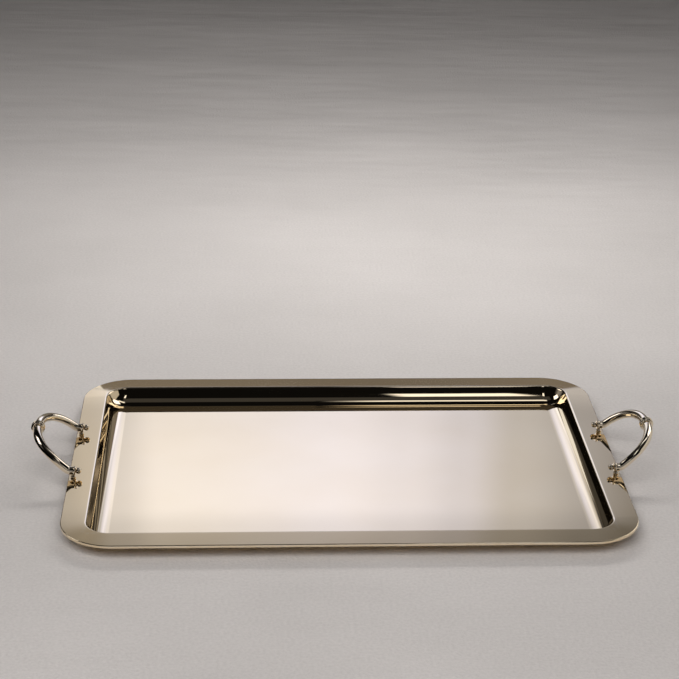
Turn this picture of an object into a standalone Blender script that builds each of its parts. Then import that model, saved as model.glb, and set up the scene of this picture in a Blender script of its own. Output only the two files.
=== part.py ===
"""A rectangular brass serving tray with a raised, fixed bow handle at each end.

The pan is one pressed sheet. Each handle is a bent bar that stands on two beads, and two
screws from beneath the rim hold it. Lengths are in metres. The tray lies on the plane
z = 0, with its length along X and its width along Y.
"""

import math

import bpy
from mathutils import Vector

MM = 0.001

# Pan
LENGTH = 546 * MM
WIDTH = 382 * MM
CORNER_RADIUS = 51 * MM
SHEET = 1.2 * MM
RIM_HEIGHT = 16.2 * MM  # inner edge of the rim above the table
RIM_SLOPE_DROP = 0.8 * MM  # the rim falls this much towards its outer edge
RIM_WIDTH = 23 * MM
EDGE_RADIUS = 0.7 * MM
SKIRT_HEIGHT = 2.4 * MM
ROLL_RADIUS = 2.5 * MM  # top of the wall
FILLET_RADIUS = 19 * MM  # the wall is one hollow curve
DISH_RADIUS = 30 * MM  # it runs out into the floor on this wider curve
DISH_ANGLE = math.radians(8)
WALL_RUN = 22.6 * MM  # level distance from the rim to the flat floor
CORNER_STEPS = 12
ARC_STEPS = 7

# Handles
POST_X = 268.2 * MM
POST_Y = 50 * MM
AXIS_HEIGHT = 7.3 * MM  # bar axis above the rim, at the posts
BAR_END_X = 265.8 * MM
BOW_START_X = 269 * MM
BOW_REACH = 37.0 * MM
BOW_POWER = 2.32  # 2 is an ellipse, and a larger number is squarer
BOW_SLOPE = math.radians(41)
BOW_SLOPE_AT_TOP = math.radians(29)
BOW_BEND_RUN = 7 * MM  # the bar turns from level to its slope over this run
BAR_RADIUS = 4.0 * MM
BAR_RADIUS_MIDDLE = 4.6 * MM
FLANGE_RADIUS = 4.7 * MM
FLANGE_WIDTH = 1.6 * MM
BAR_SIDES = 16
BOW_STEPS = 40

COLLAR_RADIUS = 6.9 * MM
COLLAR_WIDTH = 6.8 * MM
CAP_RADIUS = 3.1 * MM
POST_RADIUS = 2.7 * MM
GAP = 0.3 * MM  # left between neighbouring pieces

# Fasteners
SCREW_RADIUS = 1.5 * MM
SCREW_GRIP = 3.6 * MM  # how far the thread goes into the bar
HOLE_RADIUS = 1.7 * MM
SCREW_HEAD_RADIUS = 2.75 * MM
SCREW_HEAD_HEIGHT = 1.7 * MM
HEX_RADIUS = 1.15 * MM
HEX_DEPTH = 1.0 * MM
WASHER_RADIUS = 3.0 * MM
WASHER_THICKNESS = 0.6 * MM

SIDES = (("left", -1), ("right", 1))
ENDS = (("front", -1), ("back", 1))


def clear_scene():
    for obj in list(bpy.data.objects):
        bpy.data.objects.remove(obj, do_unlink=True)


def metal(name, colour, roughness):
    material = bpy.data.materials.new(name)
    material.use_nodes = True
    shader = material.node_tree.nodes["Principled BSDF"]
    shader.inputs["Base Color"].default_value = (*colour, 1)
    shader.inputs["Metallic"].default_value = 1
    shader.inputs["Roughness"].default_value = roughness
    material.diffuse_color = (*colour, 1)
    return material


def add_object(name, points, faces, material):
    mesh = bpy.data.meshes.new(name)
    mesh.from_pydata(points, [], faces)
    mesh.update()
    obj = bpy.data.objects.new(name, mesh)
    bpy.context.scene.collection.objects.link(obj)
    if material:
        mesh.materials.append(material)
    return obj


def bridge(first, second, count):
    """Quads between two closed rings of points, given the index of each ring's first point."""
    quads = []
    for i in range(count):
        j = (i + 1) % count
        quads.append((first + i, first + j, second + j, second + i))
    return quads


def turned(name, profile, sides, material, closed=False):
    """A body turned about Z. profile is (radius, height) from the bottom to the top.

    A closed profile is a ring with a bore: it runs up the outside and down the inside.
    """
    points = []
    for radius, height in profile:
        for i in range(sides):
            angle = 2 * math.pi * i / sides
            points.append((radius * math.cos(angle), radius * math.sin(angle), height))
    faces = []
    for row in range(len(profile) - 1):
        faces += bridge(row * sides, (row + 1) * sides, sides)
    if closed:
        faces += bridge((len(profile) - 1) * sides, 0, sides)
    else:
        faces.append(tuple(reversed(range(sides))))
        faces.append(tuple(range((len(profile) - 1) * sides, len(profile) * sides)))
    return add_object(name, points, faces, material)


def cut(obj, cutter):
    cutter.hide_render = True
    cutter.display_type = "WIRE"
    boolean = obj.modifiers.new(cutter.name, "BOOLEAN")
    boolean.operation = "DIFFERENCE"
    boolean.solver = "EXACT"
    boolean.object = cutter


def rim_height_at(x):
    """Height of the rim's upper face at this distance from the middle, between its edges."""
    inset = LENGTH / 2 - abs(x)
    return RIM_HEIGHT - RIM_SLOPE_DROP * (RIM_WIDTH - inset) / RIM_WIDTH


def arc(centre_inset, centre_height, radius, start, end):
    """(inset, height, angle) points on an arc. Angles are in radians from the inset axis."""
    points = []
    for i in range(ARC_STEPS + 1):
        angle = start + (end - start) * i / ARC_STEPS
        inset = centre_inset + radius * math.cos(angle)
        height = centre_height + radius * math.sin(angle)
        points.append((inset, height, angle))
    return points


def wall_angle():
    """Steepness at which one straight wall touches the arcs at its top and its foot."""
    low, high = math.radians(30), math.radians(88)
    dish_run = DISH_RADIUS * math.sin(DISH_ANGLE)
    dish_rise = DISH_RADIUS * (1 - math.cos(DISH_ANGLE))
    for _ in range(60):
        angle = (low + high) / 2
        run = WALL_RUN - dish_run - ROLL_RADIUS * math.sin(angle)
        run -= FILLET_RADIUS * (math.sin(angle) - math.sin(DISH_ANGLE))
        rise = RIM_HEIGHT - SHEET - dish_rise - ROLL_RADIUS * (1 - math.cos(angle))
        rise -= FILLET_RADIUS * (math.cos(DISH_ANGLE) - math.cos(angle))
        if rise > run * math.tan(angle):
            low = angle
        else:
            high = angle
    return low


def pan_profile():
    """The upper face from the skirt's lower edge to the floor: (inset, height, normal angle)."""
    steep = wall_angle()
    edge_height = RIM_HEIGHT - RIM_SLOPE_DROP
    floor_inset = RIM_WIDTH + WALL_RUN
    right = math.pi / 2
    shift = DISH_RADIUS - FILLET_RADIUS
    fillet_inset = floor_inset - shift * math.sin(DISH_ANGLE)
    fillet_height = SHEET + DISH_RADIUS - shift * math.cos(DISH_ANGLE)
    profile = [(0, edge_height - SKIRT_HEIGHT, math.pi)]
    profile += arc(EDGE_RADIUS, edge_height - EDGE_RADIUS, EDGE_RADIUS, 2 * right, right)
    profile += arc(RIM_WIDTH, RIM_HEIGHT - ROLL_RADIUS, ROLL_RADIUS, right, right - steep)
    hollow = arc(fillet_inset, fillet_height, FILLET_RADIUS, -right - steep, -right - DISH_ANGLE)
    hollow += arc(floor_inset, SHEET + DISH_RADIUS, DISH_RADIUS, -right - DISH_ANGLE, -right)[1:]
    profile += [(inset, height, angle + math.pi) for inset, height, angle in hollow]
    return profile


def underside(profile):
    """The lower face from the floor out to the skirt, one sheet thickness below the upper one."""
    inner_edge = RIM_HEIGHT - RIM_SLOPE_DROP - SHEET
    points = []
    for inset, height, angle in reversed(profile):
        inset -= SHEET * math.cos(angle)
        height -= SHEET * math.sin(angle)
        if points and inset <= SHEET * 1.0001:  # the skirt's inner corner is sharp
            inset, height = SHEET, min(height, inner_edge)
        if not points or math.dist((inset, height), points[-1]) > 0.01 * MM:
            points.append((inset, height))
    return points


def corner_radius_at(inset):
    """Corner radius of the outline at this inset. It shrinks a little faster than the inset."""
    return max(CORNER_RADIUS - 1.12 * inset, 9 * MM)


def outline(inset, height):
    """A rectangle with round corners, anticlockwise from above."""
    radius = corner_radius_at(inset)
    half_x = LENGTH / 2 - inset - radius
    half_y = WIDTH / 2 - inset - radius
    points = []
    for corner, (sign_x, sign_y) in enumerate(((1, 1), (-1, 1), (-1, -1), (1, -1))):
        for i in range(CORNER_STEPS + 1):
            angle = math.pi / 2 * (corner + i / CORNER_STEPS)
            x = sign_x * half_x + radius * math.cos(angle)
            y = sign_y * half_y + radius * math.sin(angle)
            points.append((x, y, height))
    return points


def hole_cutter(name, x, y, low, high, radius):
    cutter = turned(name, [(radius, low), (radius, high)], 16, None)
    cutter.location = (x, y, 0)
    return cutter


def make_pan(material):
    """Nested outlines over the upper face and back under the lower one, with a screw hole at
    each post."""
    count = 4 * (CORNER_STEPS + 1)
    profile = pan_profile()
    section = [(inset, height) for inset, height, _ in profile] + underside(profile)
    points = []
    for inset, height in section:
        points += outline(inset, height)
    faces = []
    for row in range(len(section)):
        if row != len(profile) - 1:
            faces += bridge(row * count, (row + 1) % len(section) * count, count)
    faces.append(tuple(range((len(profile) - 1) * count, len(profile) * count)))
    faces.append(tuple(reversed(range(len(profile) * count, (len(profile) + 1) * count))))
    pan = add_object("tray_pan", points, faces, material)
    for side, sign_x in SIDES:
        for end, sign_y in ENDS:
            name = "cutter_rim_" + side + "_" + end
            cut(pan, hole_cutter(name, sign_x * POST_X, sign_y * POST_Y, 0.01, 0.03, HOLE_RADIUS))
    return pan


def bow_slope(run):
    """Slope of the bar at this level distance outwards from the start of its bend."""
    if run <= 0:
        return 0.0
    if run < BOW_BEND_RUN:
        share = run / BOW_BEND_RUN
        return BOW_SLOPE * share * share * (3 - 2 * share)
    share = min((run - BOW_BEND_RUN) / (BOW_REACH - BOW_BEND_RUN), 1)
    return BOW_SLOPE + (BOW_SLOPE_AT_TOP - BOW_SLOPE) * share


def bow_rise(run):
    """Height gained at this level distance outwards, summed over short steps."""
    steps = 60
    rise = 0.0
    for i in range(steps):
        rise += math.tan(bow_slope(run * (i + 0.5) / steps)) * run / steps
    return rise


def bow_path():
    """The bar's axis from the back end over the top to the front end, for the right side."""
    base = rim_height_at(POST_X) + AXIS_HEIGHT
    stub = [BAR_END_X, BAR_END_X + FLANGE_WIDTH, BAR_END_X + FLANGE_WIDTH + 0.3 * MM]
    path = [Vector((x, POST_Y, base)) for x in stub]
    for i in range(1, BOW_STEPS):
        angle = math.pi * i / BOW_STEPS
        run = BOW_REACH * math.sin(angle) ** (2 / BOW_POWER)
        share = math.copysign(abs(math.cos(angle)) ** (2 / BOW_POWER), math.cos(angle))
        path.append(Vector((BOW_START_X + run, POST_Y * share, base + bow_rise(run))))
    path += [Vector((x, -POST_Y, base)) for x in reversed(stub)]
    return path


def bow_radii(path):
    """Radius of the bar at each point of its path: a flange at each end, thicker in the middle."""
    radii = []
    for point in path:
        share = 1 - abs(point.y) / POST_Y
        radii.append(BAR_RADIUS + (BAR_RADIUS_MIDDLE - BAR_RADIUS) * min(1.6 * share, 1))
    for i in (0, 1, -1, -2):
        radii[i] = FLANGE_RADIUS
    return radii


def make_bow(side, sign_x, material):
    """A round bar swept along the bow's path, with a blind screw hole up into each end."""
    path = bow_path()
    radii = bow_radii(path)
    points = []
    for i, (centre, radius) in enumerate(zip(path, radii)):
        before = path[max(i - 1, 0)]
        after = path[min(i + 1, len(path) - 1)]
        along = (after - before).normalized()
        if i < 3:
            along = Vector((1, 0, 0))
        if i >= len(path) - 3:
            along = Vector((-1, 0, 0))
        across = Vector((-0.53, 0, 0.85)).cross(along).normalized()
        up = along.cross(across)
        for k in range(BAR_SIDES):
            angle = 2 * math.pi * k / BAR_SIDES
            points.append(centre + radius * (math.cos(angle) * across + math.sin(angle) * up))
    faces = [tuple(reversed(range(BAR_SIDES)))]
    for row in range(len(path) - 1):
        faces += bridge(row * BAR_SIDES, (row + 1) * BAR_SIDES, BAR_SIDES)
    faces.append(tuple(range((len(path) - 1) * BAR_SIDES, len(path) * BAR_SIDES)))
    if sign_x < 0:
        points = [Vector((-p.x, -p.y, p.z)) for p in points]
    bow = add_object("handle_bow_" + side, points, faces, material)
    top = path[0].z - BAR_RADIUS + SCREW_GRIP + GAP
    for end, sign_y in ENDS:
        name = "cutter_bow_" + side + "_" + end
        cut(bow, hole_cutter(name, sign_x * POST_X, sign_y * POST_Y, 0.01, top, HOLE_RADIUS))
    return bow


def make_collar(side, sign_x, material):
    """A ring with two ridges, turned about the bar's axis at the top of the bow."""
    top = bow_path()[len(bow_path()) // 2]
    half = COLLAR_WIDTH / 2
    bore = BAR_RADIUS_MIDDLE + GAP
    outside = [(5.5, -1.0), (6.4, -0.85), (6.9, -0.55), (6.4, -0.22), (5.9, 0.0)]
    outside += [(r, -h) for r, h in reversed(outside[:-1])]
    scale = COLLAR_RADIUS / 6.9
    profile = [(bore, -half)]
    profile += [(r * scale, h * half) for r, h in outside]
    profile += [(bore, half)]
    collar = turned("handle_collar_" + side, profile, 24, material, closed=True)
    collar.location = (sign_x * top.x, 0, top.z)
    collar.rotation_euler = (math.pi / 2, 0, 0)
    return collar


def make_end_cap(side, sign_x, end, sign_y, material):
    """A ball on a short neck, on the inner face of the bow's flange."""
    profile = [(2.1 * MM, 0), (1.9 * MM, 0.5 * MM)]
    centre = 2.75 * MM
    for angle in (-48, -24, 0, 24, 48, 70):
        turn = math.radians(angle)
        profile.append((CAP_RADIUS * math.cos(turn), centre + CAP_RADIUS * math.sin(turn)))
    cap = turned("end_cap_" + side + "_" + end, profile, 16, material)
    height = rim_height_at(POST_X) + AXIS_HEIGHT
    cap.location = (sign_x * (BAR_END_X - GAP), sign_y * POST_Y, height)
    cap.rotation_euler = (0, -sign_x * math.pi / 2, 0)
    return cap


def bar_end_cutter(name, sign_x, sign_y):
    """The end of the bar with its flange, larger all round by the gap between pieces."""
    flange = FLANGE_RADIUS + GAP
    bar = BAR_RADIUS + GAP
    step = FLANGE_WIDTH + 2 * GAP
    profile = [(flange, -3 * MM), (flange, step), (bar, step + 0.1 * MM), (bar, 9 * MM)]
    cutter = turned(name, profile, 32, None)
    height = rim_height_at(POST_X) + AXIS_HEIGHT
    cutter.location = (sign_x * BAR_END_X, sign_y * POST_Y, height)
    cutter.rotation_euler = (0, sign_x * math.pi / 2, 0)
    return cutter


def make_post(side, sign_x, end, sign_y, material):
    """The bead between the rim and the bar, bored for the screw and coped to fit the bar."""
    low = rim_height_at(POST_X) + GAP
    height = AXIS_HEIGHT - BAR_RADIUS
    outside = [(0.86, 0), (1.0, 0.3), (1.0, 0.6), (0.9, 0.85), (0.8, 1.0)]
    profile = [(HOLE_RADIUS, 0)]
    profile += [(POST_RADIUS * r, height * h) for r, h in outside]
    profile += [(HOLE_RADIUS, height)]
    post = turned("foot_post_" + side + "_" + end, profile, 20, material, closed=True)
    post.location = (sign_x * POST_X, sign_y * POST_Y, low)
    cut(post, bar_end_cutter("cutter_bar_" + side + "_" + end, sign_x, sign_y))
    return post


def washer_top():
    return rim_height_at(POST_X) - SHEET - GAP


def make_washer(side, sign_x, end, sign_y, material):
    profile = [
        (HOLE_RADIUS, -WASHER_THICKNESS),
        (WASHER_RADIUS, -WASHER_THICKNESS),
        (WASHER_RADIUS, 0),
        (HOLE_RADIUS, 0),
    ]
    washer = turned("washer_" + side + "_" + end, profile, 20, material, closed=True)
    washer.location = (sign_x * POST_X, sign_y * POST_Y, washer_top())
    return washer


def make_screw(side, sign_x, end, sign_y, material):
    """A button-head screw with a hexagon socket. Its origin is under the head."""
    bar_bottom = rim_height_at(POST_X) + AXIS_HEIGHT - BAR_RADIUS
    seat = washer_top() - WASHER_THICKNESS - GAP
    tip = bar_bottom + SCREW_GRIP - seat
    profile = [
        (SCREW_HEAD_RADIUS * 0.62, -SCREW_HEAD_HEIGHT),
        (SCREW_HEAD_RADIUS * 0.9, -SCREW_HEAD_HEIGHT * 0.7),
        (SCREW_HEAD_RADIUS, -SCREW_HEAD_HEIGHT * 0.2),
        (SCREW_HEAD_RADIUS, 0),
        (SCREW_RADIUS, 0),
        (SCREW_RADIUS, tip - 0.5 * MM),
        (SCREW_RADIUS * 0.7, tip),
    ]
    screw = turned("screw_" + side + "_" + end, profile, 18, material)
    socket = turned(
        "cutter_hex_" + side + "_" + end,
        [(HEX_RADIUS, -2 * SCREW_HEAD_HEIGHT), (HEX_RADIUS, HEX_DEPTH - SCREW_HEAD_HEIGHT)],
        6,
        None,
    )
    screw.location = (sign_x * POST_X, sign_y * POST_Y, seat)
    socket.location = screw.location
    cut(screw, socket)
    return screw


def main():
    clear_scene()
    brass = (0.83, 0.72, 0.53)
    make_pan(metal("tray_brass", brass, 0.05))
    handle = metal("handle_brass", (0.85, 0.75, 0.57), 0.05)
    turned_brass = metal("turned_brass", (0.84, 0.73, 0.55), 0.06)
    steel = metal("screw_steel", (0.62, 0.62, 0.61), 0.25)
    for side, sign_x in SIDES:
        make_bow(side, sign_x, handle)
        make_collar(side, sign_x, turned_brass)
        for end, sign_y in ENDS:
            make_end_cap(side, sign_x, end, sign_y, turned_brass)
            make_post(side, sign_x, end, sign_y, turned_brass)
            make_washer(side, sign_x, end, sign_y, steel)
            make_screw(side, sign_x, end, sign_y, steel)


main()
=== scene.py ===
# %% [markdown]
# # A polished brass serving tray
#
# The tray is a shallow pan pressed from one sheet of brass, with a bent bar as a handle on each
# short side. Polished metal has almost no colour of its own to hide behind: what you see in it
# is the room. So this lesson spends its effort on smooth surfaces, exact curves and a simple
# studio around them, and only then on the fine marks that polishing leaves.
#
# The imported model gives the true size and place of each piece. It is loaded first.

import math

import bmesh
import bpy
from mathutils import Matrix, Vector


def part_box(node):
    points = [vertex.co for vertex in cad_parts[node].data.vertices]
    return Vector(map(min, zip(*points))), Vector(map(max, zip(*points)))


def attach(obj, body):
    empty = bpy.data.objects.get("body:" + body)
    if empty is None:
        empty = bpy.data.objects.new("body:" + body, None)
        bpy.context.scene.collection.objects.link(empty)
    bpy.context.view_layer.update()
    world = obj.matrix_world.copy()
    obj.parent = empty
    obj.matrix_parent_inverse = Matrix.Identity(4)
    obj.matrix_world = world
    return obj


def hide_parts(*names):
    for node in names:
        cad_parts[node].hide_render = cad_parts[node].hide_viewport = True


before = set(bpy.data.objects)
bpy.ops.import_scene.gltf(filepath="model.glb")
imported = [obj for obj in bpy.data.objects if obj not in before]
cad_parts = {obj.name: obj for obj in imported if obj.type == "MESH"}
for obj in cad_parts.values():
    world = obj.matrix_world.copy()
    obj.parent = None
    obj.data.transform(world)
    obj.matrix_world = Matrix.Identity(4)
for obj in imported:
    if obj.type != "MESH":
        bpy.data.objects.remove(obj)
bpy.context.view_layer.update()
MM = 0.001  # the scene is in metres
SIDES = (("left", -1), ("right", 1))
ENDS = (("front", -1), ("back", 1))
print("pieces in the frame:", len(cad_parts))

# %% [markdown]
# The camera looks down on the tray from the front, a little from the left, with a long lens.
# A long lens from far away keeps the two short sides nearly parallel, as in a catalogue. The
# camera leans by under one degree, as a hand-levelled camera does. A Track To constraint could
# aim it, but it always keeps the camera upright. A matrix built from the camera's own three axes
# can hold the lean as well.

# %% Camera
CAMERA_TURN = math.radians(-2.93)
CAMERA_HEIGHT_ANGLE = math.radians(22.27)
CAMERA_LEAN = math.radians(0.9)
CAMERA_DISTANCE = 1.9215
CAMERA_ASIDE = (-0.0064, 0.1153)  # how far the camera stands right of and above its aim
SENSOR_WIDTH = 36  # millimetres, and so is the lens
LENS = 100.7
AIM = Vector((0, 0, 0.0154))


def camera_axes():
    """The camera's right, up and back directions before it leans."""
    back = Vector((
        math.sin(CAMERA_TURN) * math.cos(CAMERA_HEIGHT_ANGLE),
        -math.cos(CAMERA_TURN) * math.cos(CAMERA_HEIGHT_ANGLE),
        math.sin(CAMERA_HEIGHT_ANGLE),
    ))
    right = Vector((math.cos(CAMERA_TURN), math.sin(CAMERA_TURN), 0))
    return right, back.cross(right), back


def add_camera():
    right, up, back = camera_axes()
    place = AIM + back * CAMERA_DISTANCE + right * CAMERA_ASIDE[0] + up * CAMERA_ASIDE[1]
    leaned_right = right * math.cos(CAMERA_LEAN) + up * math.sin(CAMERA_LEAN)
    leaned_up = up * math.cos(CAMERA_LEAN) - right * math.sin(CAMERA_LEAN)
    data = bpy.data.cameras.new("camera")
    data.sensor_width = SENSOR_WIDTH
    data.lens = LENS
    data.clip_end = 50
    camera = bpy.data.objects.new("camera", data)
    bpy.context.scene.collection.objects.link(camera)
    turn = Matrix((leaned_right, leaned_up, back)).transposed()
    camera.matrix_world = Matrix.Translation(place) @ turn.to_4x4()
    bpy.context.scene.camera = camera
    return camera


camera = add_camera()
print("camera at", [round(v, 3) for v in camera.matrix_world.translation])

# %% [markdown]
# Every finish here is a polished metal, so the three marks that polishing and use leave are
# made once, as node groups, and each metal uses them with its own values.
#
# The first is haze. A buffing wheel doesn't leave the same gloss everywhere, so the roughness
# drifts slowly over the surface, in patches a few centimetres wide. The patches could be painted
# on an image by hand. Noise needs no image and fits a piece of any size, so it is used for all
# three marks.

# %% Node group: polishing haze
def new_group(name, inputs, outputs):
    """An empty node group with sockets {name: default} in and {name: socket type} out.

    A default of None makes a colour input, and a number makes a float input.
    """
    group = bpy.data.node_groups.new(name, "ShaderNodeTree")
    for label, value in inputs.items():
        kind = "NodeSocketColor" if value is None else "NodeSocketFloat"
        socket = group.interface.new_socket(label, in_out="INPUT", socket_type=kind)
        if value is not None:
            socket.default_value = value
    for label, kind in outputs.items():
        group.interface.new_socket(label, in_out="OUTPUT", socket_type=kind)
    return group, group.nodes.new("NodeGroupInput"), group.nodes.new("NodeGroupOutput")


def add_node(tree, kind, **settings):
    node = tree.nodes.new(kind)
    for key, value in settings.items():
        setattr(node, key, value)
    return node


def feed(tree, socket, value):
    """Links an output socket to this input, or sets the input to a plain value."""
    if isinstance(value, bpy.types.NodeSocket):
        tree.links.new(value, socket)
    else:
        socket.default_value = value


def object_place(tree):
    """The point being shaded, measured from its object's own origin."""
    return add_node(tree, "ShaderNodeTexCoord").outputs["Object"]


def add_noise(tree, place, scale, detail=2, roughness=0.5):
    noise = add_node(tree, "ShaderNodeTexNoise")
    noise.inputs["Detail"].default_value = detail
    noise.inputs["Roughness"].default_value = roughness
    feed(tree, noise.inputs["Vector"], place)
    feed(tree, noise.inputs["Scale"], scale)
    return noise.outputs["Fac"]


def map_range(tree, value, low, high, to_low, to_high):
    """Rescales a value. Each bound is a number or an output socket."""
    node = add_node(tree, "ShaderNodeMapRange", clamp=True)
    for index, bound in enumerate((value, low, high, to_low, to_high)):
        feed(tree, node.inputs[index], bound)
    return node.outputs[0]


def make_haze_group():
    inputs = {"Scale": 18.0, "Glossy": 0.03, "Hazy": 0.07}
    group, given, result = new_group("polishing haze", inputs, {"Roughness": "NodeSocketFloat"})
    patches = add_noise(group, object_place(group), given.outputs["Scale"], 3, 0.55)
    rough = map_range(group, patches, 0.35, 0.7, given.outputs["Glossy"], given.outputs["Hazy"])
    group.links.new(rough, result.inputs["Roughness"])
    return group


HAZE = make_haze_group()
print("group:", HAZE.name)

# %% [markdown]
# The second mark is the hairline scratches of wiping cloths. They are long and thin, so a noise
# is stretched strongly along one direction, and only its peaks are kept. Two such layers cross
# at an angle, because nobody wipes in one direction only. Real scratches could be modelled as
# grooves, but they are far finer than the mesh, so they stay in the material.

# %% Node group: wiping scratches
def scratch_layer(group, place, scale, turn, stretch):
    """Thin lines along one direction, as a mask from 0 to 1."""
    mapping = add_node(group, "ShaderNodeMapping")
    mapping.inputs["Rotation"].default_value = (0.3, 0.2, math.radians(turn))
    mapping.inputs["Scale"].default_value = (1, stretch, stretch)
    group.links.new(place, mapping.inputs["Vector"])
    lines = add_noise(group, mapping.outputs["Vector"], scale)
    return map_range(group, lines, 0.62, 0.74, 0.0, 1.0)


def make_scratch_group():
    group, given, result = new_group("wiping scratches", {"Scale": 14.0},
                                     {"Scratches": "NodeSocketFloat"})
    place = object_place(group)
    both = add_node(group, "ShaderNodeMath", operation="MAXIMUM")
    for index, (turn, stretch) in enumerate(((8, 42), (71, 55))):
        layer = scratch_layer(group, place, given.outputs["Scale"], turn, stretch)
        group.links.new(layer, both.inputs[index])
    group.links.new(both.outputs[0], result.inputs["Scratches"])
    return group


SCRATCHES = make_scratch_group()
print("group:", SCRATCHES.name)

# %% [markdown]
# The third mark is wear along edges and ridges, where hands and cloths rub most. Each mesh
# below carries an attribute named worn_edge, which is 1 on its ridges and fades to 0 on its flat
# parts. The group breaks that attribute up with noise, so that the wear isn't an even line, and
# gives a colour that is a little paler where the edge is worn. Blender's Pointiness could find
# the ridges by itself, but it changes with the density of a mesh, and an attribute doesn't.

# %% Node group: edge wear
def make_wear_group():
    outputs = {"Color": "NodeSocketColor", "Wear": "NodeSocketFloat"}
    group, given, result = new_group("edge wear", {"Metal": None, "Worn Metal": None}, outputs)
    ridge = add_node(group, "ShaderNodeAttribute", attribute_name="worn_edge")
    noise = add_noise(group, object_place(group), 160, 4)
    broken = map_range(group, noise, 0.3, 0.65, 0.25, 1.0)
    wear = add_node(group, "ShaderNodeMath", operation="MULTIPLY")
    group.links.new(ridge.outputs["Fac"], wear.inputs[0])
    group.links.new(broken, wear.inputs[1])
    mix = add_node(group, "ShaderNodeMix", data_type="RGBA")
    group.links.new(wear.outputs[0], mix.inputs["Factor"])
    group.links.new(given.outputs["Metal"], mix.inputs[6])
    group.links.new(given.outputs["Worn Metal"], mix.inputs[7])
    group.links.new(mix.outputs[2], result.inputs["Color"])
    group.links.new(wear.outputs[0], result.inputs["Wear"])
    return group


WEAR = make_wear_group()
print("group:", WEAR.name)

# %% [markdown]
# A metal is one Principled shader with Metallic at 1. Its colour drifts a little between two
# close tones, the haze group sets how glossy it is, scratches and wear make it a touch rougher,
# and a very low bump lets the hairlines catch the light. A Glossy shader could mirror the room
# as well, but Principled is the one that other programs read when the model is handed over.

# %% A polished metal
SCRATCH_DEPTH = 0.02 * MM
SCRATCH_ROUGHNESS = 0.02  # added to the haze where there is a hairline
WEAR_ROUGHNESS = 0.03


def add_values(tree, first, second, weight):
    """first + second * weight, for two output sockets."""
    node = add_node(tree, "ShaderNodeMath", operation="MULTIPLY_ADD")
    for index, value in enumerate((second, weight, first)):
        feed(tree, node.inputs[index], value)
    return node.outputs[0]


def blend_tones(tree, value, stops):
    """A colour that goes from the first of two (position, colour) stops to the second."""
    ramp = add_node(tree, "ShaderNodeValToRGB")
    for element, (position, colour) in zip(ramp.color_ramp.elements, stops):
        element.position = position
        element.color = (*colour, 1)
    tree.links.new(value, ramp.inputs["Fac"])
    return ramp.outputs["Color"]


def add_relief(tree, shader, height, strength, distance, invert=False):
    """Bumps the shader's surface by this height."""
    relief = add_node(tree, "ShaderNodeBump", invert=invert)
    relief.inputs["Strength"].default_value = strength
    relief.inputs["Distance"].default_value = distance
    tree.links.new(height, relief.inputs["Height"])
    tree.links.new(relief.outputs["Normal"], shader.inputs["Normal"])


def metal_material(name, tone, warm_tone, worn_tone, haze, scratch_scale, bump, patch_scale=9):
    """haze is (scale, roughness where glossy, roughness where hazy)."""
    material = bpy.data.materials.new(name)
    material.use_nodes = True
    tree = material.node_tree
    shader = tree.nodes["Principled BSDF"]
    shader.inputs["Metallic"].default_value = 1.0
    patches = add_noise(tree, object_place(tree), patch_scale)
    wear = add_node(tree, "ShaderNodeGroup", node_tree=WEAR)
    tree.links.new(blend_tones(tree, patches, ((0.38, tone), (0.66, warm_tone))),
                   wear.inputs["Metal"])
    wear.inputs["Worn Metal"].default_value = (*worn_tone, 1)
    tree.links.new(wear.outputs["Color"], shader.inputs["Base Color"])
    haze_node = add_node(tree, "ShaderNodeGroup", node_tree=HAZE)
    for label, value in zip(("Scale", "Glossy", "Hazy"), haze):
        haze_node.inputs[label].default_value = value
    hairlines = add_node(tree, "ShaderNodeGroup", node_tree=SCRATCHES)
    hairlines.inputs["Scale"].default_value = scratch_scale
    scratches = hairlines.outputs["Scratches"]
    rough = add_values(tree, haze_node.outputs["Roughness"], scratches, SCRATCH_ROUGHNESS)
    rough = add_values(tree, rough, wear.outputs["Wear"], WEAR_ROUGHNESS)
    tree.links.new(rough, shader.inputs["Roughness"])
    add_relief(tree, shader, scratches, bump, SCRATCH_DEPTH, invert=True)
    material.diffuse_color = (*tone, 1)
    return material


print("scratch depth", SCRATCH_DEPTH / MM, "mm")

# %% [markdown]
# Brass gets paler the more zinc it holds, and this is a pale one. The bars and the turned pieces
# are paler still than the sheet. Small pieces need finer patches and hairlines, so their noise
# has a larger scale. The colours could come from measured tables of brass, but those are for one
# alloy and this one isn't known, so they were adjusted.

# %% The four metals
WORN_BRASS = (0.93, 0.81, 0.62)
tray_brass = metal_material("polished tray brass", (0.91, 0.76, 0.53), (0.89, 0.735, 0.50),
                            WORN_BRASS, haze=(16, 0.025, 0.05), scratch_scale=14, bump=0.04)
handle_brass = metal_material("polished handle brass", (0.92, 0.81, 0.64), (0.90, 0.78, 0.59),
                              WORN_BRASS, haze=(60, 0.03, 0.06), scratch_scale=90, bump=0.3,
                              patch_scale=40)
turned_brass = metal_material("turned brass", (0.90, 0.79, 0.62), (0.88, 0.75, 0.56),
                              WORN_BRASS, haze=(90, 0.03, 0.07), scratch_scale=120, bump=0.35,
                              patch_scale=70)
screw_steel = metal_material("zinc-plated steel", (0.62, 0.63, 0.65), (0.55, 0.55, 0.56),
                             (0.45, 0.44, 0.42), haze=(300, 0.18, 0.34), scratch_scale=260,
                             bump=0.5, patch_scale=120)
print("metals:", [m.name for m in (tray_brass, handle_brass, turned_brass, screw_steel)])

# %% [markdown]
# ## The pan
#
# The real pan starts as a flat sheet and is pressed between two dies. Every section through it
# is the same line: the skirt that stiffens the edge, the sharp outer edge, the nearly flat rim,
# a small round roll, a short straight stretch of wall, and one wide hollow curve that runs out
# into the floor. A box with bevelled edges could come close, but a bevel has one radius, and the
# mirrored bands in the wall show each change of radius. So the line is written down once, as
# straight parts and arcs, each running into the next.

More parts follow.
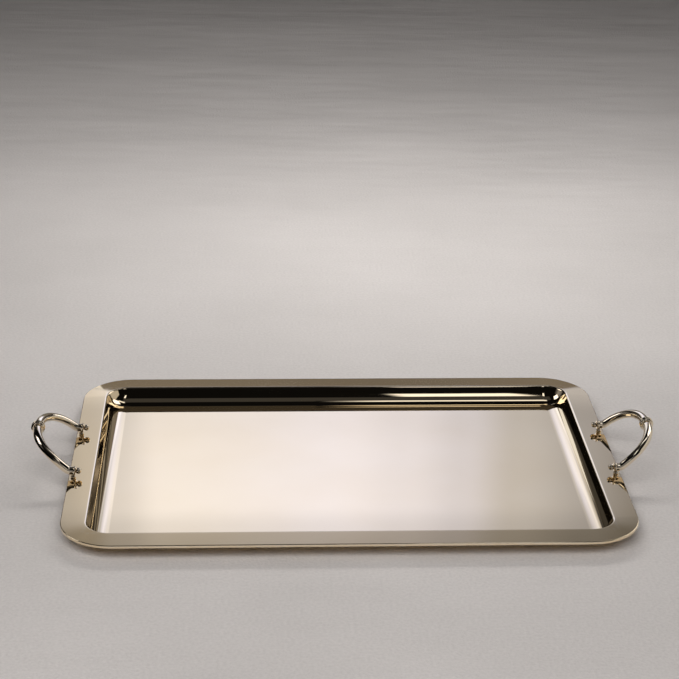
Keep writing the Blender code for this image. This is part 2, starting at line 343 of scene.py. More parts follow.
# %% The pan's measures
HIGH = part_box("tray_pan")[1]
HALF_LENGTH, HALF_WIDTH, RIM_HEIGHT = HIGH.x, HIGH.y, HIGH.z
SHEET = 1.2 * MM
RIM_WIDTH = 23 * MM
RIM_FALL = 0.8 * MM  # the rim's outer edge is this much lower than its inner edge
SKIRT = 2.4 * MM  # height of the edge that is turned down
EDGE_RADIUS = 0.7 * MM
ROLL_RADIUS = 2.5 * MM
FILLET_RADIUS = 19 * MM  # the hollow curve of the wall
DISH_RADIUS = 30 * MM  # the hollow curve runs out into the floor on this wider one
DISH_ANGLE = math.radians(8)
WALL_RUN = 22.6 * MM  # level distance from the rim to the flat floor
ARC_STEPS = 14


def find_wall_angle():
    """The steepness at which a straight stretch touches both the roll and the hollow curve."""
    low, high = math.radians(30), math.radians(88)
    for _ in range(60):
        angle = (low + high) / 2
        run = WALL_RUN - DISH_RADIUS * math.sin(DISH_ANGLE) - ROLL_RADIUS * math.sin(angle)
        run -= FILLET_RADIUS * (math.sin(angle) - math.sin(DISH_ANGLE))
        rise = RIM_HEIGHT - SHEET - DISH_RADIUS * (1 - math.cos(DISH_ANGLE))
        rise -= ROLL_RADIUS * (1 - math.cos(angle))
        rise -= FILLET_RADIUS * (math.cos(DISH_ANGLE) - math.cos(angle))
        if rise > run * math.tan(angle):
            low = angle
        else:
            high = angle
    return low


WALL_ANGLE = find_wall_angle()
print("wall angle", round(math.degrees(WALL_ANGLE), 1), "degrees")

# %% [markdown]
# The upper face is what everyone sees. Its points could be typed in as a list, but then a change
# of one radius means new points by hand. Here each arc is a function call, and the points follow
# from the measures. A polished surface shows every flat facet, so the arcs get more steps
# than the frame's solid has. The rim is flat and needs no steps for its shape. It gets a
# few, because the wear is stored at points and has to fade out close to the edge.

# %% The upper face
RIM_SHARES = (0.06, 0.12, 0.3, 0.5, 0.7, 0.85, 0.92)  # places of the rim's points across it


def arc(centre, radius, start, end, steps):
    """(inset, height, normal angle) along an arc. Angles are in radians from the inset axis."""
    points = []
    for i in range(steps + 1):
        angle = start + (end - start) * i / steps
        inset = centre[0] + radius * math.cos(angle)
        height = centre[1] + radius * math.sin(angle)
        points.append((inset, height, angle))
    return points


def upper_section():
    """The upper face from the skirt's lower edge to the flat floor, with its outward normals."""
    right = math.pi / 2
    edge_height = RIM_HEIGHT - RIM_FALL
    floor_inset = RIM_WIDTH + WALL_RUN
    shift = DISH_RADIUS - FILLET_RADIUS
    fillet = (floor_inset - shift * math.sin(DISH_ANGLE),
              SHEET + DISH_RADIUS - shift * math.cos(DISH_ANGLE))
    section = [(0, edge_height - SKIRT, math.pi)]
    section += arc((EDGE_RADIUS, edge_height - EDGE_RADIUS), EDGE_RADIUS, 2 * right, right, ARC_STEPS)
    for share in RIM_SHARES:
        section.append((EDGE_RADIUS + (RIM_WIDTH - EDGE_RADIUS) * share,
                        edge_height + RIM_FALL * share, right))
    section += arc((RIM_WIDTH, RIM_HEIGHT - ROLL_RADIUS), ROLL_RADIUS, right,
                   right - WALL_ANGLE, ARC_STEPS)
    hollow = arc(fillet, FILLET_RADIUS, -right - WALL_ANGLE, -right - DISH_ANGLE, ARC_STEPS)
    hollow += arc((floor_inset, SHEET + DISH_RADIUS), DISH_RADIUS,
                  -right - DISH_ANGLE, -right, ARC_STEPS)[1:]
    section += [(inset, height, angle + math.pi) for inset, height, angle in hollow]
    return section


UPPER = upper_section()
print("upper face:", len(UPPER), "points")

# %% [markdown]
# The underside is the same line moved inwards by the thickness of the sheet, point by point along
# its normals. A Solidify modifier could do that too, but it leaves a square end, and a trimmed
# sheet is deburred and never ends in a knife edge. So a small half circle joins the two faces at
# the skirt's lower edge.

# %% The underside
NOSE_STEPS = 6


def lower_section():
    """The underside from the floor back to the skirt, followed by the skirt's round nose."""
    section = []
    for inset, height, angle in reversed(UPPER):
        inset -= SHEET * math.cos(angle)
        height -= SHEET * math.sin(angle)
        # The edge's arc is tighter than the sheet is thick, so its offset would fold over.
        if inset <= SHEET * 1.0001 and section:
            inset, height = SHEET, min(height, RIM_HEIGHT - RIM_FALL - SHEET)
        if not section or math.dist((inset, height), section[-1][:2]) > 1e-6:
            section.append((inset, height, 0))
    inset, height, _ = UPPER[0]
    nose = []
    for i in range(1, NOSE_STEPS):
        angle = math.pi * i / NOSE_STEPS
        nose.append((inset + SHEET / 2 * (1 + math.cos(angle)),
                     height - SHEET / 2 * math.sin(angle), 0))
    return section + nose


LOWER = lower_section()
print("underside:", len(LOWER), "points, sheet", SHEET / MM, "mm")

# %% [markdown]
# The section is carried round the tray's outline, a rectangle with round corners. On the real pan
# the corners get tighter towards the floor. A curve object could sweep the section, but then
# the corner radius falls by the whole inset and gets too small at the floor. So each point
# of the section gets its own ring, and its corner radius has a lower limit.

# %% The outline
CORNER_RADIUS = 51 * MM
CORNER_TIGHTENING = 1.12  # loss of corner radius for each unit of inset
SMALLEST_CORNER = 9 * MM
CORNER_STEPS = 40
SIDE_STEPS = 12


def corner_radius(inset):
    return max(CORNER_RADIUS - CORNER_TIGHTENING * inset, SMALLEST_CORNER)


def outline(inset, height):
    """One closed ring of points round the tray, anticlockwise from above."""
    radius = corner_radius(inset)
    straight_x = HALF_LENGTH - inset - radius
    straight_y = HALF_WIDTH - inset - radius
    ring = []
    for corner, (sign_x, sign_y) in enumerate(((1, 1), (-1, 1), (-1, -1), (1, -1))):
        centre = Vector((sign_x * straight_x, sign_y * straight_y, height))
        for i in range(CORNER_STEPS + 1):
            angle = math.pi / 2 * (corner + i / CORNER_STEPS)
            ring.append(centre + radius * Vector((math.cos(angle), math.sin(angle), 0)))
    full = []
    for i, point in enumerate(ring):
        full.append(point)
        if i % (CORNER_STEPS + 1) == CORNER_STEPS:
            after = ring[(i + 1) % len(ring)]
            full += [point.lerp(after, k / SIDE_STEPS) for k in range(1, SIDE_STEPS)]
    return full


print("ring:", len(outline(0, RIM_HEIGHT)), "points")

# %% [markdown]
# Every mesh of the tray that is made here consists of such rings, each bridged to the next, so
# the tools for that come first. Many more faces could hide the facets, but smooth shading does
# it for less. A Weighted Normal modifier lets the large faces decide the shading, which
# keeps the mirrored lines straight next to a tight edge.

# %% Mesh tools
SMOOTH_ANGLE = math.radians(40)  # a sharper edge than this keeps its crease


def bridge(bm, first, second):
    count = len(first)
    for i in range(count):
        j = (i + 1) % count
        bm.faces.new((first[i], first[j], second[j], second[i]))


def finish_mesh(bm, name, material):
    """Turns a bmesh into a smoothly shaded object that rides on the tray's one body."""
    bmesh.ops.recalc_face_normals(bm, faces=bm.faces)
    mesh = bpy.data.meshes.new(name)
    bm.to_mesh(mesh)
    bm.free()
    mesh.materials.append(material)
    mesh.polygons.foreach_set("use_smooth", [True] * len(mesh.polygons))
    mesh.set_sharp_from_angle(angle=SMOOTH_ANGLE)
    obj = bpy.data.objects.new(name, mesh)
    bpy.context.scene.collection.objects.link(obj)
    weighted = obj.modifiers.new("even shading", "WEIGHTED_NORMAL")
    weighted.keep_sharp = True
    weighted.weight = 100
    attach(obj, "root")
    return obj


def paint_worn_edge(obj, amount):
    """Stores worn_edge for each point. amount is a function of the point's place."""
    values = [amount(vertex.co) for vertex in obj.data.vertices]
    attribute = obj.data.attributes.new("worn_edge", "FLOAT", "POINT")
    attribute.data.foreach_set("value", values)


print("creases stay above", round(math.degrees(SMOOTH_ANGLE)), "degrees")

# %% [markdown]
# The pan is one closed mesh: rings down the upper face, back along the underside, and one flat
# face each for the two sides of the floor. The floor could be a grid, but a single flat face
# can't ripple, and a mirror shows every ripple.

# %% The pan
OUTER_WEAR = 1.6 * MM  # how far from the edge the wear reaches
ROLL_WEAR = 1.8 * MM


def make_pan():
    bm = bmesh.new()
    rows = []
    for inset, height, _ in UPPER + LOWER:
        rows.append([bm.verts.new(point) for point in outline(inset, height)])
    for i in range(len(rows)):
        if i != len(UPPER) - 1:
            bridge(bm, rows[i], rows[(i + 1) % len(rows)])
    bm.faces.new(rows[len(UPPER) - 1])
    bm.faces.new(rows[len(UPPER)])
    return finish_mesh(bm, "pan", tray_brass)


def pan_wear(point):
    """High on the outer edge and on the roll at the top of the wall."""
    inset = min(HALF_LENGTH - abs(point.x), HALF_WIDTH - abs(point.y))
    outer = max(0.0, 1 - inset / OUTER_WEAR)
    roll = max(0.0, 1 - abs(inset - RIM_WIDTH - ROLL_RADIUS / 2) / ROLL_WEAR)
    return max(outer, roll) if point.z > RIM_HEIGHT / 2 else 0.0


pan = make_pan()
paint_worn_edge(pan, pan_wear)
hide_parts("tray_pan")
print("pan:", len(pan.data.vertices), "points")

# %% [markdown]
# ## The handles
#
# Each bow is a round bar. It starts level over its two feet, turns upwards and outwards, and
# is a little thicker in the middle, where the hand holds it. Seen from above it follows a
# squared ellipse. The bar could be a curve object with a bevel, but here it needs a flange and
# a changing thickness, so rings of points are set square to its path one after the other.

# %% The bow's path
POST_X = 268.2 * MM
POST_Y = 50 * MM
AXIS_HEIGHT = 7.3 * MM
BAR_END_X = 265.8 * MM
BOW_START_X = 269 * MM
BOW_REACH = 37 * MM
BOW_POWER = 2.32
BOW_SLOPE = math.radians(41)
BOW_SLOPE_AT_TOP = math.radians(29)
BOW_BEND_RUN = 7 * MM
BAR_RADIUS = 4.0 * MM
BAR_RADIUS_MIDDLE = 4.6 * MM
BOW_STEPS = 150
BAR_SIDES = 48


def ease(share):
    """Goes from 0 to 1 with a soft start and a soft end."""
    return share * share * (3 - 2 * share)


def rim_height(x):
    return RIM_HEIGHT - RIM_FALL * (RIM_WIDTH - HALF_LENGTH + abs(x)) / RIM_WIDTH


def bow_slope(run):
    if run <= 0:
        return 0.0
    if run < BOW_BEND_RUN:
        return BOW_SLOPE * ease(run / BOW_BEND_RUN)
    share = min((run - BOW_BEND_RUN) / (BOW_REACH - BOW_BEND_RUN), 1)
    return BOW_SLOPE + (BOW_SLOPE_AT_TOP - BOW_SLOPE) * share


def bow_rise(run, steps=80):
    slopes = (math.tan(bow_slope(run * (i + 0.5) / steps)) for i in range(steps))
    return sum(slopes) * run / steps


AXIS_Z = rim_height(POST_X) + AXIS_HEIGHT


def bow_path():
    """Points of the right bow's axis from its back end to its front end."""
    stub = [BAR_END_X + 0.25 * MM * i for i in range(13)]
    path = [Vector((x, POST_Y, AXIS_Z)) for x in stub]
    for i in range(1, BOW_STEPS):
        angle = math.pi * i / BOW_STEPS
        run = BOW_REACH * math.sin(angle) ** (2 / BOW_POWER)
        share = math.copysign(abs(math.cos(angle)) ** (2 / BOW_POWER), math.cos(angle))
        path.append(Vector((BOW_START_X + run, POST_Y * share, AXIS_Z + bow_rise(run))))
    path += [Vector((x, -POST_Y, AXIS_Z)) for x in reversed(stub)]
    return path


BOW_PATH = bow_path()
BOW_TOP = BOW_PATH[len(BOW_PATH) // 2]
print("bow top at", [round(v / MM, 1) for v in BOW_TOP], "mm")

# %% [markdown]
# The flange at each end is one piece with the bar. It could be a ring of its own pushed over the
# end, but then a seam would show in the polish. Its width and rounding are written as a list of
# (distance along the bar, radius), and the bar's own thickness takes over after it.

# %% Rings along the bow
FLANGE = [(0.0, 4.2), (0.12, 4.5), (0.35, 4.68), (0.8, 4.7), (1.25, 4.68), (1.5, 4.45),
          (1.65, 4.15), (2.0, 3.98), (2.6, 3.95), (3.2, 4.0)]
SWELL = 1.6  # how soon the bar reaches its full thickness on the way to its middle
RING_START = Vector((-0.53, 0, 0.85))  # a direction that the bar never runs in


def bar_radius(point):
    share = min(SWELL * (1 - abs(point.y) / POST_Y), 1)
    return BAR_RADIUS + (BAR_RADIUS_MIDDLE - BAR_RADIUS) * ease(share)


def flange_rings(sign_y):
    """(centre, direction, radius) for the rings of one flange, from the bar's end."""
    return [(Vector((BAR_END_X + distance * MM, sign_y * POST_Y, AXIS_Z)),
             Vector((sign_y, 0, 0)), radius * MM) for distance, radius in FLANGE]


def bow_rings(path):
    """The rings of both flanges and of the bar between them, from back to front."""
    inner = [p for p in path if abs(p.y) < POST_Y - 1e-9]  # the path without its level ends
    rings = flange_rings(1)
    for i in range(1, len(inner) - 1):
        along = (inner[i + 1] - inner[i - 1]).normalized()
        rings.append((inner[i], along, bar_radius(inner[i])))
    return rings + flange_rings(-1)[::-1]


def ring_points(centre, along, radius, sides):
    across = RING_START.cross(along).normalized()
    up = along.cross(across)
    points = []
    for k in range(sides):
        angle = 2 * math.pi * k / sides
        points.append(centre + radius * (math.cos(angle) * across + math.sin(angle) * up))
    return points


print("rings along a bow:", len(bow_rings(BOW_PATH)))

# %% [markdown]
# The left bow is the right one mirrored. A Mirror modifier could make both at once, but they are
# two pieces on the real tray, each with its own screws, so each gets its own mesh.

# %% The bows
MIDDLE_WEAR = 0.5
FLANGE_WEAR = 0.7


def make_bow(side, sign_x):
    bm = bmesh.new()
    rows = []
    for centre, along, radius in bow_rings(BOW_PATH):
        points = ring_points(centre, along, radius, BAR_SIDES)
        rows.append([bm.verts.new((p.x * sign_x, p.y, p.z)) for p in points])
    for first, second in zip(rows, rows[1:]):
        bridge(bm, first, second)
    bm.faces.new(rows[0])
    bm.faces.new(rows[-1])
    bow = finish_mesh(bm, "bow_" + side, handle_brass)
    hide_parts("handle_bow_" + side)
    return bow


def bow_wear(point):
    """Hands rub the middle of the bow most, and the rims of its flanges."""
    middle = max(0.0, 1 - abs(point.y) / (0.6 * POST_Y)) * MIDDLE_WEAR
    flange = FLANGE_WEAR if abs(point.x) < BAR_END_X + 1.4 * MM else 0.0
    return max(middle, flange)


bows = [make_bow(side, sign_x) for side, sign_x in SIDES]
for bow in bows:
    paint_worn_edge(bow, bow_wear)
print("bow:", len(bows[0].data.vertices), "points")

# %% [markdown]
# The collar, the ball at each bar end and the bead under it are turned on a lathe, and a mesh of
# such a piece is made the same way: one half of its outline, turned about an axis. The outline
# is given as a few points, and a smooth line through them is sampled finely. A Screw modifier
# turns an outline as well, but the rings made here are all in place before the wear is painted.

# %% Turned pieces
def smooth_line(points, steps):
    """A Catmull-Rom line through (radius, height) points."""
    line = []
    for i in range(len(points) - 1):
        p0 = points[max(i - 1, 0)]
        p1, p2 = points[i], points[i + 1]
        p3 = points[min(i + 2, len(points) - 1)]
        for k in range(steps):
            t = k / steps
            line.append(tuple(
                0.5 * (2 * b + (c - a) * t + (2 * a - 5 * b + 4 * c - d) * t * t
                       + (3 * b - a - 3 * c + d) * t ** 3)
                for a, b, c, d in zip(p0, p1, p2, p3)))
    return line + [points[-1]]


def turned_mesh(name, line, sides, place, turn, node, closed=False):
    """Turns (radius, height) points in millimetres about a local Z axis, set at place."""
    matrix = Matrix.Translation(place) @ turn.to_4x4()
    bm = bmesh.new()
    rows = []
    for radius, height in line:
        row = []
        for k in range(sides):
            angle = 2 * math.pi * k / sides
            local = Vector((radius * math.cos(angle), radius * math.sin(angle), height)) * MM
            row.append(bm.verts.new(matrix @ local))
        rows.append(row)
    for first, second in zip(rows, rows[1:]):
        bridge(bm, first, second)
    if closed:
        bridge(bm, rows[-1], rows[0])
    else:
        bm.faces.new(rows[0])
        bm.faces.new(rows[-1])
    obj = finish_mesh(bm, name, turned_brass)
    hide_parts(node)
    return obj


def axis_turn(direction):
    """The rotation that carries local Z to this direction."""
    return Vector((0, 0, 1)).rotation_difference(Vector(direction)).to_matrix()


print("a line of", len(smooth_line([(1, 0), (2, 1), (1, 2)], 8)), "points from 3")

# %% [markdown]
# The collar has two round ridges with a groove between them. It was slid over the bar and
# soldered, so its ends run down onto the bar and no gap shows. Two torus shapes side by side
# would look close, but their groove would be too sharp, so the outline is drawn.

# %% Collars
COLLAR_LINE = smooth_line([(4.62, -3.4), (5.3, -3.38), (5.55, -3.1), (5.6, -2.85), (6.35, -2.5),
                           (6.88, -1.75), (6.55, -0.95), (5.75, -0.35), (5.6, 0.0)], 6)
COLLAR_LINE += [(r, -h) for r, h in reversed(COLLAR_LINE[:-1])]
COLLAR_SIDES = 72
COLLAR_WEAR_START = 6.0  # millimetres from the collar's middle


def make_collar(side, sign_x):
    place = Vector((sign_x * BOW_TOP.x, 0, BOW_TOP.z))
    collar = turned_mesh("collar_" + side, COLLAR_LINE, COLLAR_SIDES, place,
                         axis_turn((0, 1, 0)), "handle_collar_" + side, closed=True)
    paint_worn_edge(collar, lambda p: max(0.0, (p - place).length / MM - COLLAR_WEAR_START))
    return collar


for side, sign_x in SIDES:
    make_collar(side, sign_x)
print("collar:", len(COLLAR_LINE), "points in its outline")

# %% [markdown]
# A ball on a short neck closes each end of the bar, and a bead stands under it on the rim. The
# bead's top reaches a little way into the bar, which looks the same as a bead that was shaped to
# fit round it. A plain sphere could be the ball, but the neck under it is turned from the same
# stock, so both are one outline.

# %% End balls and beads
BALL_LINE = [(4.0, 0.0), (4.0, 0.18), (2.6, 0.32), (1.95, 0.55), (1.9, 0.75)]
BALL_LINE += [(3.1 * math.cos(math.radians(a)), 2.75 + 3.1 * math.sin(math.radians(a)))
              for a in range(-40, 90, 6)]
BEAD_LINE = smooth_line([(1.2, 0.0), (2.1, 0.0), (2.45, 0.35), (2.7, 1.1), (2.5, 1.9),
                         (1.95, 2.5), (1.85, 2.8), (2.2, 3.3), (2.3, 4.6)], 6)
SMALL_SIDES = 48
OVERLAP = 0.02 * MM  # closes the joint with the next piece
BALL_WEAR_START = 4.6  # millimetres from the ball's seat
BALL_WEAR = 0.6
BEAD_WEAR = 0.4


def make_ball(side, sign_x, end, sign_y):
    place = Vector((sign_x * (BAR_END_X + OVERLAP), sign_y * POST_Y, AXIS_Z))
    name = "_".join(("end_ball", side, end))
    ball = turned_mesh(name, BALL_LINE, SMALL_SIDES, place, axis_turn((-sign_x, 0, 0)),
                       "end_cap_" + side + "_" + end)
    paint_worn_edge(
        ball, lambda p: max(0.0, (place - p).length / MM - BALL_WEAR_START) * BALL_WEAR)
    return ball


def make_bead(side, sign_x, end, sign_y):
    place = Vector((sign_x * POST_X, sign_y * POST_Y, rim_height(POST_X) - OVERLAP))
    name = "_".join(("bead", side, end))
    bead = turned_mesh(name, BEAD_LINE, SMALL_SIDES, place, Matrix.Identity(3),
                       "foot_post_" + side + "_" + end)
    paint_worn_edge(bead, lambda p: BEAD_WEAR if p.z - place.z < 1.5 * MM else 0.0)
    return bead


for side, sign_x in SIDES:
    for end, sign_y in ENDS:
        make_ball(side, sign_x, end, sign_y)
        make_bead(side, sign_x, end, sign_y)
print("balls and beads at x", POST_X / MM, "and y", POST_Y / MM, "mm")

# %% [markdown]
# The screws and washers sit under the rim, where only someone who turns the tray over sees
# them. They could be modelled again with threads, but no thread shows, and their frame solids
# already have the right shape. So those stay and get a plated finish.

# %% Screws and washers
for name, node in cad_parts.items():
    if name.startswith(("screw_", "washer_")):
        node.data.materials.clear()
        node.data.materials.append(screw_steel)
print("plated:", sum(n.startswith(("screw_", "washer_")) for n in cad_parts))

# %% [markdown]
# ## The studio
#
# Polished brass shows its surroundings, so the studio is built for what it looks like in the
# metal. An image of a real room could be mirrored instead, but a few glowing panels can be
# moved one at a time, and a band in the metal can be traced to one of them. The panels glow only
# for the metal. The pale floor has lights of its own, which the metal doesn't reflect. That
# isn't how a real room works, but it keeps the two apart.
#
# The tray stands on a cloth. Its colour drifts slightly, a fine noise is the weave, and a
# wide, stretched noise makes soft creases. A cloth could be simulated and pulled flat, but
# its relief is too low to see in outline, so a bump is enough. From beneath, the cloth is clear,
# which lets the underside of the tray be looked at.

# %% The floor cloth
CLOTH_DARK = (0.63, 0.595, 0.575)
CLOTH_LIGHT = (0.71, 0.67, 0.65)
CREASE_WEIGHT = 14.0  # height of the creases for one unit of weave
CLOTH_RELIEF = 1.2 * MM


def clear_from_beneath(tree, shader):
    """Shows the shader on the upper side of a face and nothing on its lower side."""
    side = add_node(tree, "ShaderNodeNewGeometry")
    clear = add_node(tree, "ShaderNodeBsdfTransparent")
    mix = add_node(tree, "ShaderNodeMixShader")
    tree.links.new(side.outputs["Backfacing"], mix.inputs["Fac"])
    tree.links.new(shader.outputs[0], mix.inputs[1])
    tree.links.new(clear.outputs[0], mix.inputs[2])
    tree.links.new(mix.outputs[0], tree.nodes["Material Output"].inputs["Surface"])


def cloth_material():
    material = bpy.data.materials.new("pale floor")
    material.use_nodes = True
    tree = material.node_tree
    shader = tree.nodes["Principled BSDF"]
    shader.inputs["Roughness"].default_value = 0.9
    shader.inputs["Specular IOR Level"].default_value = 0.1
    place = object_place(tree)
    stretch = add_node(tree, "ShaderNodeMapping")
    stretch.inputs["Rotation"].default_value = (0, 0, math.radians(12))
    stretch.inputs["Scale"].default_value = (0.35, 1, 1)
    tree.links.new(place, stretch.inputs["Vector"])
    weave = add_noise(tree, place, 330)
    creases = add_noise(tree, stretch.outputs["Vector"], 7, 3)
    tones = blend_tones(tree, add_noise(tree, place, 2.5, 5), ((0.3, CLOTH_DARK), (0.7, CLOTH_LIGHT)))
    woven = add_node(tree, "ShaderNodeVectorMath", operation="SCALE")
    tree.links.new(tones, woven.inputs[0])
    tree.links.new(map_range(tree, weave, 0.3, 0.7, 0.91, 1.0), woven.inputs["Scale"])
    tree.links.new(woven.outputs[0], shader.inputs["Base Color"])
    height = add_values(tree, weave, creases, CREASE_WEIGHT)
    add_relief(tree, shader, height, 0.5, CLOTH_RELIEF)
    clear_from_beneath(tree, shader)
    return material


cloth = cloth_material()
print("cloth:", cloth.name)

# %% [markdown]
# The cloth's mesh is one large flat grid, a hair below the tray so that the two never touch. A
# curved backdrop could close the view at the top, but the cloth runs far enough back to fill it.

# %% Stage floor
FLOOR_HALF_SIZE = 9
FLOOR_DROP = 0.3 * MM


def stage_object(bm, name, material):
    """Turns a bmesh into an object that belongs to the studio and not to the tray."""
    mesh = bpy.data.meshes.new(name)
    bm.to_mesh(mesh)
    bm.free()
    mesh.materials.append(material)
    obj = bpy.data.objects.new(name, mesh)
    bpy.context.scene.collection.objects.link(obj)
    return obj


def make_floor():
    bm = bmesh.new()
    bmesh.ops.create_grid(bm, x_segments=2, y_segments=2, size=FLOOR_HALF_SIZE)
    floor = stage_object(bm, "stage_floor", cloth)
    floor.location.z = -FLOOR_DROP
    return floor


floor = make_floor()
print("stage floor:", [round(d, 1) for d in floor.dimensions])

# %% [markdown]
# A panel is a plane that glows. How bright each point of it is comes from two ramps, one along
# its width and one along its height, multiplied. An area light could be mirrored too, but a
# plain one glows evenly all over, and the soft edges in the metal need ramps.

# %% Glowing panels
def ramp_node(tree, stops):
    """A colour ramp. stops are (position, brightness), or (position, brightness, colour)."""
    ramp = add_node(tree, "ShaderNodeValToRGB")
    ramp.color_ramp.interpolation = "EASE"
    elements = ramp.color_ramp.elements
    elements[0].position, elements[1].position = stops[0][0], stops[-1][0]
    for position, *_ in stops[1:-1]:
        elements.new(position)
    for element, (_, value, *colour) in zip(elements, stops):
        tint = colour[0] if colour else (1, 1, 1)
        element.color = (*(value * part for part in tint), 1)
    return ramp


def glow_material(name, colour, strength, across, upwards):
    material = bpy.data.materials.new(name)
    material.use_nodes = True
    tree = material.node_tree
    tree.nodes.remove(tree.nodes["Principled BSDF"])
    glow = add_node(tree, "ShaderNodeEmission")
    glow.inputs["Color"].default_value = (*colour, 1)
    glow.inputs["Strength"].default_value = strength
    tree.links.new(glow.outputs[0], tree.nodes["Material Output"].inputs["Surface"])
    split = add_node(tree, "ShaderNodeSeparateXYZ")
    tree.links.new(add_node(tree, "ShaderNodeTexCoord").outputs["Generated"], split.inputs[0])
    shade = colour
    for axis, stops in (("X", across), ("Y", upwards)):
        if stops:
            ramp = ramp_node(tree, stops)
            tree.links.new(split.outputs[axis], ramp.inputs["Fac"])
            tinted = add_node(tree, "ShaderNodeVectorMath", operation="MULTIPLY")
            tree.links.new(ramp.outputs["Color"], tinted.inputs[0])
            feed(tree, tinted.inputs[1], shade)
            shade = tinted.outputs[0]
            tree.links.new(shade, glow.inputs["Color"])
    return material


def make_panel(name, place, facing, size, colour, strength, across=None, upwards=None):
    """A glowing rectangle of this (width, height) that faces a point."""
    bm = bmesh.new()
    w, h = size[0] / 2, size[1] / 2
    bm.faces.new([bm.verts.new(p) for p in ((-w, -h, 0), (w, -h, 0), (w, h, 0), (-w, h, 0))])
    panel = stage_object(bm, name, glow_material(name, colour, strength, across, upwards))
    panel.location = place
    away = (Vector(facing) - Vector(place)).normalized()
    panel.rotation_euler = away.to_track_quat("Z", "Y").to_euler()
    panel.visible_diffuse = False
    panel.visible_shadow = False
    panel.visible_camera = False
    return panel


WARM_GLOW = (1, 0.95, 0.84)
COOL_GLOW = (0.99, 1.01, 1.12)
NEUTRAL_GLOW = (1, 1, 1.04)
print("glows: warm", WARM_GLOW, "cool", COOL_GLOW)

# %% [markdown]
# The large panel stands behind the tray, out of the camera's sight. It fills the floor of the pan
# with a glow that fades to both sides, bluish in the middle and warm at its edges. The flat
# floor mirrors its lower part, and the foot of the back wall mirrors what is above. Many
# small lamps could build this up, but one panel with two ramps has no seams.

# %% The back panel
BACK_Y = 2.2  # how far behind the tray's middle the back panels stand
ACROSS = [(0.0, 0.0), (0.328, 0.05, WARM_GLOW), (0.334, 0.34, WARM_GLOW), (0.35, 0.5, WARM_GLOW),
          (0.365, 0.6, WARM_GLOW), (0.40, 0.79), (0.425, 1.0), (0.53, 1.0, COOL_GLOW),
          (0.567, 0.90, COOL_GLOW), (0.6, 0.76, COOL_GLOW), (0.63, 0.6), (0.68, 0.42),
          (0.74, 0.22, WARM_GLOW), (1.0, 0.1)]
UPWARDS = [(0.0, 0.6), (0.02, 1.0), (0.075, 1.0), (0.12, 0.74), (0.2, 0.80), (0.3, 0.83),
           (0.345, 0.70), (0.50, 0.42, WARM_GLOW), (0.58, 0.35, WARM_GLOW), (0.63, 0.02),
           (1.0, 0.0)]
back_panel = make_panel("panel_back", (0.0, BACK_Y, 1.44), (0.0, 0.0, 1.44), (4.0, 1.3),
                        (1.0, 1.04, 1.24), 1.25, across=ACROSS, upwards=UPWARDS)
print("back panel", [round(v, 2) for v in back_panel.dimensions])

# %% [markdown]
# Smaller panels stand round the large one. A dim ledge, a low patch and a few streaks lie under
# it, where the sloping back rim mirrors them, and a long faint one far behind fills the gaps.
# Strips over the tray and in front of it, and wider panels at its sides, give the white bands
# and lines in the walls and along the bows. One even dome of light would be simpler, but what no
# panel covers stays dark, and that draws the black lines which make metal look polished.

# %% Smaller panels
SOFT = [(0.0, 0.0), (0.12, 1.0), (0.88, 1.0), (1.0, 0.0)]
STREAKS = [(0.0, 0.0), (0.1, 0.5), (0.16, 0.1), (0.32, 0.16), (0.42, 0.9), (0.48, 0.25),
           (0.62, 0.1), (0.72, 0.6), (0.8, 0.05), (1.0, 0.3)]
make_panel("panel_ledge", (0.1, BACK_Y, 0.585), (0.1, 0, 0.585), (1.9, 0.42), (1, 0.9, 0.8), 0.2,
           across=[(0.0, 0.5), (0.25, 1.0), (0.6, 0.85), (0.75, 1.0), (1.0, 0.8)])
make_panel("panel_low", (-0.61, 2.19, 0.63), (-0.61, 0, 0.63), (0.28, 0.32), (1, 1.03, 1.1), 0.9)
make_panel("panel_streaks", (0.83, 2.15, 0.34), (0.83, 0, 0.34), (0.4, 0.7), (1, 0.9, 0.78), 0.4,
           across=STREAKS)
make_panel("panel_far", (0, 6, 1.0), (0, 0, 1.0), (14, 2.6), (1, 0.93, 0.86), 0.05,
           upwards=[(0.0, 1.0), (0.7, 1.0), (1.0, 0.1)])
make_panel("panel_over", (0.6, 0.46, 1.5), (0.6, 0.46, 0), (1.14, 0.3), NEUTRAL_GLOW, 1.1,
           across=SOFT, upwards=SOFT)
make_panel("panel_front", (0.33, -0.8, 1.5), (0.33, -0.8, 0), (0.3, 0.82), NEUTRAL_GLOW, 1.3,
           across=SOFT, upwards=SOFT)
make_panel("panel_strip", (0.40, -2.0, 0.88), (0.2, 0, 0), (0.3, 0.12), (1, 1, 1), 1.3)
make_panel("panel_wing", (1.25, 1.2, 1.2), (0, 0, 0.1), (0.9, 1.3), NEUTRAL_GLOW, 1.8)
make_panel("panel_high", (-1.75, 0.6, 1.5), (0, 0, 0.1), (1.0, 1.0), NEUTRAL_GLOW, 2.0)
make_panel("panel_side", (1.7, 0.1, 0.6), (0, 0, 0.6), (2.4, 1.2), (1, 0.96, 0.92), 0.5)

# %% [markdown]
# A tray is picked up and turned round, so the other sides get something to mirror too. Three
# dimmer panels stand behind the camera, on the left and high overhead. The walls of the pan
# catch a little of them from the front as well, so they are kept weak. A black card beside the
# left bow keeps the pale floor out of its outer side. A brighter room all round would be
# simpler, but it would wash out the dark bands that are seen from the front.

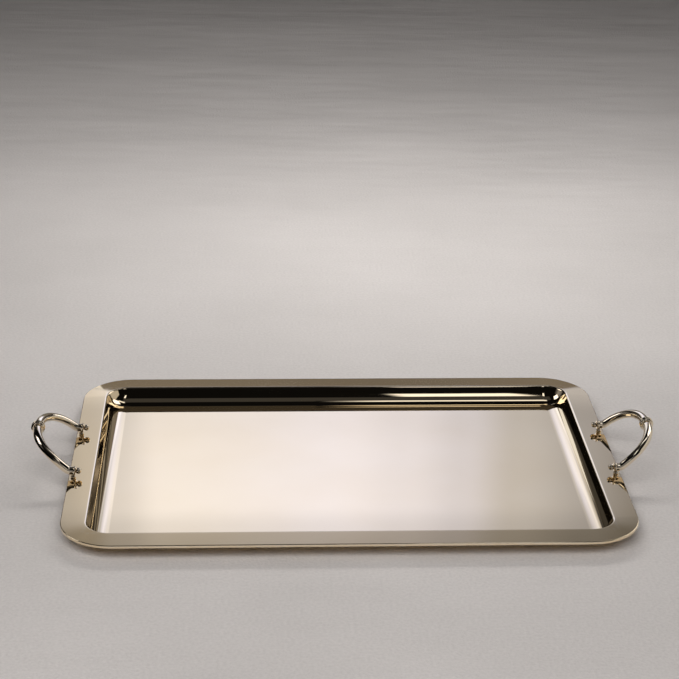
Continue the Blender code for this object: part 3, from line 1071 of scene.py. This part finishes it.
# %% Panels for the other sides
DOME = [(0.0, 0.1), (0.25, 0.65), (0.5, 1.0), (0.75, 0.6), (1.0, 0.1)]
FADE_UP = [(0.0, 0.3), (0.3, 1.0), (0.6, 0.8), (1.0, 0.05)]
DAYLIGHT = (1, 0.99, 1.06)
make_panel("panel_behind", (0.1, -2.6, 1.15), (0.1, 0, 1.15), (3.8, 1.4), DAYLIGHT, 0.3,
           across=DOME, upwards=FADE_UP)
make_panel("panel_left", (-2.5, 0.5, 0.95), (0, 0.5, 0.95), (2.8, 1.3), DAYLIGHT, 0.34,
           across=DOME, upwards=FADE_UP)
make_panel("panel_top", (0, 0, 2.2), (0, 0, 0), (1.8, 1.3), (1, 0.98, 1.0), 0.045,
           across=SOFT, upwards=SOFT)
make_panel("card_dark", (-0.37, -0.05, 0.035), (0, -0.05, 0.035), (0.22, 0.07), (0, 0, 0), 0)

# %% [markdown]
# The cloth is brightest in the middle distance and falls off towards the top and the near edge.
# A sun lamp would light it evenly, so wide area lights are used: one low over the bright part,
# one far behind it, one on each side and a strong one over the front.

# %% Lights for the floor
FLOOR_LIGHT = (1.0, 0.985, 0.97)


def add_area(name, place, target, size, power, colour):
    data = bpy.data.lights.new(name, "AREA")
    data.shape = "RECTANGLE"
    data.size, data.size_y = size
    data.energy = power
    data.color = colour
    light = bpy.data.objects.new(name, data)
    bpy.context.scene.collection.objects.link(light)
    light.location = place
    light.rotation_euler = (Vector(target) - Vector(place)).to_track_quat("-Z", "Y").to_euler()
    light.visible_glossy = False
    return light


add_area("light_over", (0.12, 0.68, 0.76), (0.12, 0.68, 0), (0.9, 0.25), 5.2, FLOOR_LIGHT)
for side, sign_x in SIDES:
    add_area("light_" + side, (2.5 * sign_x, 0.0, 1.5), (2.5 * sign_x, 0, 0), (1.6, 2.0), 10,
             FLOOR_LIGHT)
add_area("light_far", (0.0, 1.6, 1.2), (0, 1.6, 0), (1.6, 0.5), 2.2, FLOOR_LIGHT)
add_area("light_front", (-0.2, -1.4, 1.5), (0.1, -0.7, 0), (2.2, 1.2), 31, (1.0, 0.99, 0.98))

# %% [markdown]
# The sky of the studio is nearly black, and below the horizon it is a soft gray. A plain colour
# could fill both, but then the black lines in the metal would turn gray too. From above, the
# stage floor covers the gray. From beneath the floor is clear, and the underside mirrors it.

# %% Background and colour
HORIZON = 0.5  # of the way from straight down to straight up
GROUND_GLOW = 0.42
SKY_GLOW = 0.004
DARK_STUDIO = (1, 0.98, 0.97)

world = bpy.data.worlds.new("dark studio")
world.use_nodes = True
sky = world.node_tree
split = add_node(sky, "ShaderNodeSeparateXYZ")
sky.links.new(add_node(sky, "ShaderNodeTexCoord").outputs["Generated"], split.inputs[0])
level = map_range(sky, split.outputs["Z"], -1.0, 1.0, 0.0, 1.0)
stops = [(position, [glow * part for part in DARK_STUDIO])
         for position, glow in ((HORIZON - 0.04, GROUND_GLOW), (HORIZON, SKY_GLOW))]
sky.links.new(blend_tones(sky, level, stops), sky.nodes["Background"].inputs["Color"])
bpy.context.scene.world = world
bpy.context.scene.view_settings.view_transform = "Standard"
print("world:", world.name)
